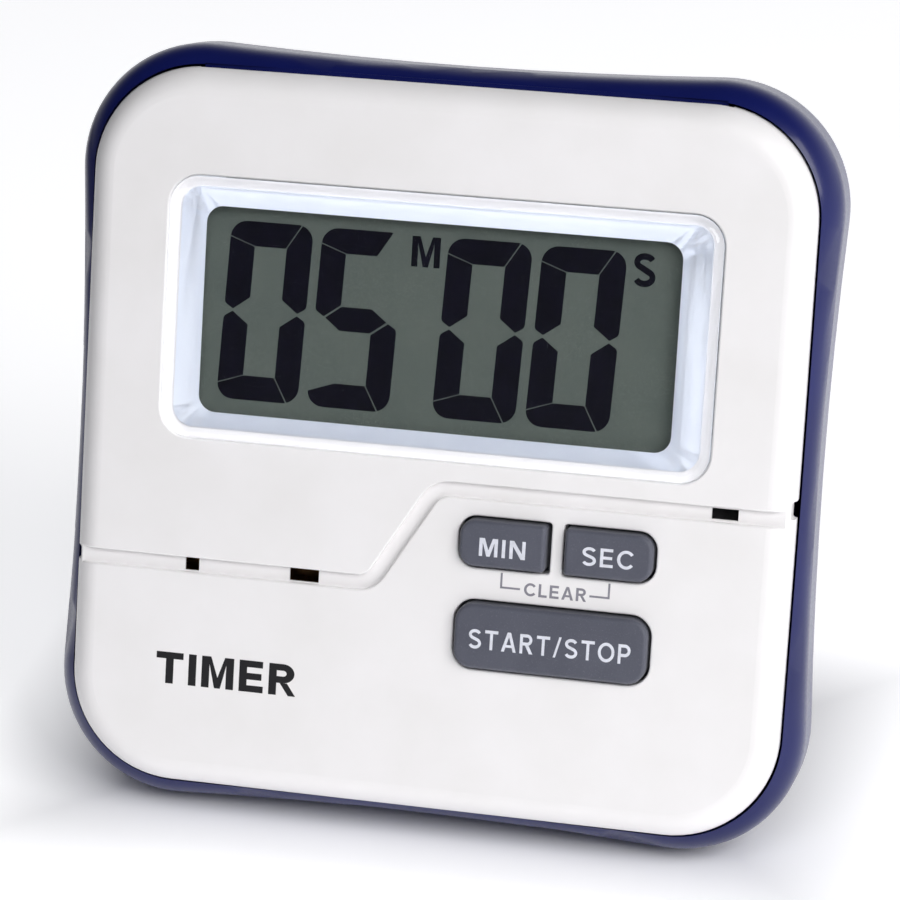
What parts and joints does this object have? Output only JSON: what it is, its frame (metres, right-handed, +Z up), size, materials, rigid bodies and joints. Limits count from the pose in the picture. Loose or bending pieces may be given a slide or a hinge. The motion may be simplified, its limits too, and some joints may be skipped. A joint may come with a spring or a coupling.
{
  "type": "lab timer",
  "caption": "Square lab countdown timer with a large display, rubber keys, a fold-out rear stand, back magnets and a sliding battery door.",
  "frame": {"origin": "centre of the standing timer's footprint, on the surface it stands on", "axes": "+X to the right as the face is read, +Y from the face to the back, +Z up; the face leans back from the vertical"},
  "size_m": [0.0762, 0.0401, 0.0746],
  "materials": {
    "white_plastic": "satin moulded ABS",
    "blue_plastic": "satin moulded ABS",
    "clear_acrylic": "polished",
    "white_print": "printed film",
    "display_film": "satin film",
    "display_glass": "polished",
    "holder_plastic": "moulded",
    "zebra_rubber": "striped",
    "key_rubber": "fine matte",
    "carbon_rubber": "matte",
    "board_laminate": "solder mask",
    "chip_epoxy": "cured drop",
    "crystal_can": "drawn",
    "capacitor_ceramic": "fired",
    "resistor_ceramic": "glazed",
    "ferrite": "sintered",
    "copper_wire": "enamelled winding",
    "buzzer_brass": "rolled sheet",
    "buzzer_ceramic": "silvered",
    "spring_steel": "nickel plated",
    "battery_steel": "plated",
    "battery_sleeve": "printed sleeve",
    "screw_steel": "zinc plated"
  },
  "bodies": {
    "case": {"front_panel": "white_plastic", "display_lens": "clear_acrylic", "lens_mask": "white_print", "lcd_front_polariser": "display_film", "lcd_front_glass": "display_glass", "lcd_rear_glass": "display_glass", "lcd_reflector": "display_film", "lcd_holder": "holder_plastic", "zebra_strip": "zebra_rubber", "min_web": "key_rubber", "sec_web": "key_rubber", "start_stop_web": "key_rubber", "keypad_mat": "key_rubber", "main_board": "board_laminate", "chip_blob": "chip_epoxy", "quartz_crystal": "crystal_can", "chip_capacitors": "capacitor_ceramic", "chip_resistors": "resistor_ceramic", "coil_core": "ferrite", "coil_winding": "copper_wire", "piezo_plate": "buzzer_brass", "piezo_ceramic": "buzzer_ceramic", "buzzer_contacts": "spring_steel", "board_screws": "screw_steel", "rear_case": "blue_plastic", "battery_can": "battery_steel", "battery_jacket": "battery_sleeve", "positive_contact": "spring_steel", "negative_contact": "spring_steel", "negative_spring": "spring_steel", "hinge_pin": "screw_steel", "magnet_left": "ferrite", "magnet_right": "ferrite", "case_screws": "screw_steel"},
    "min_key": {"min_key": "key_rubber", "min_pill": "carbon_rubber"},
    "sec_key": {"sec_key": "key_rubber", "sec_pill": "carbon_rubber"},
    "start_stop_key": {"start_stop_key": "key_rubber", "start_stop_pill": "carbon_rubber"},
    "battery_door": {"battery_door": "blue_plastic"},
    "stand": {"stand": "blue_plastic"}
  },
  "joints": [
    {"name": "min_press", "type": "slide", "parent": "case", "child": "min_key", "axis": [0, 0.9563, -0.2924], "range_m": [0, 0.00085], "stiffness_N_per_m": 1200, "deforming": ["min_web"]},
    {"name": "sec_press", "type": "slide", "parent": "case", "child": "sec_key", "axis": [0, 0.9563, -0.2924], "range_m": [0, 0.00085], "stiffness_N_per_m": 1200, "deforming": ["sec_web"]},
    {"name": "start_stop_press", "type": "slide", "parent": "case", "child": "start_stop_key", "axis": [0, 0.9563, -0.2924], "range_m": [0, 0.00085], "stiffness_N_per_m": 1200, "deforming": ["start_stop_web"]},
    {"name": "door_slide", "type": "slide", "parent": "case", "child": "battery_door", "axis": [0, 0.2924, 0.9563], "range_m": [0, 0.0115]},
    {"name": "stand_fold", "type": "hinge", "parent": "case", "child": "stand", "pos_m": [0, 0.00841, 0.05279], "axis": [1, 0, 0], "range_deg": [-27.5, 0]}
  ]
}
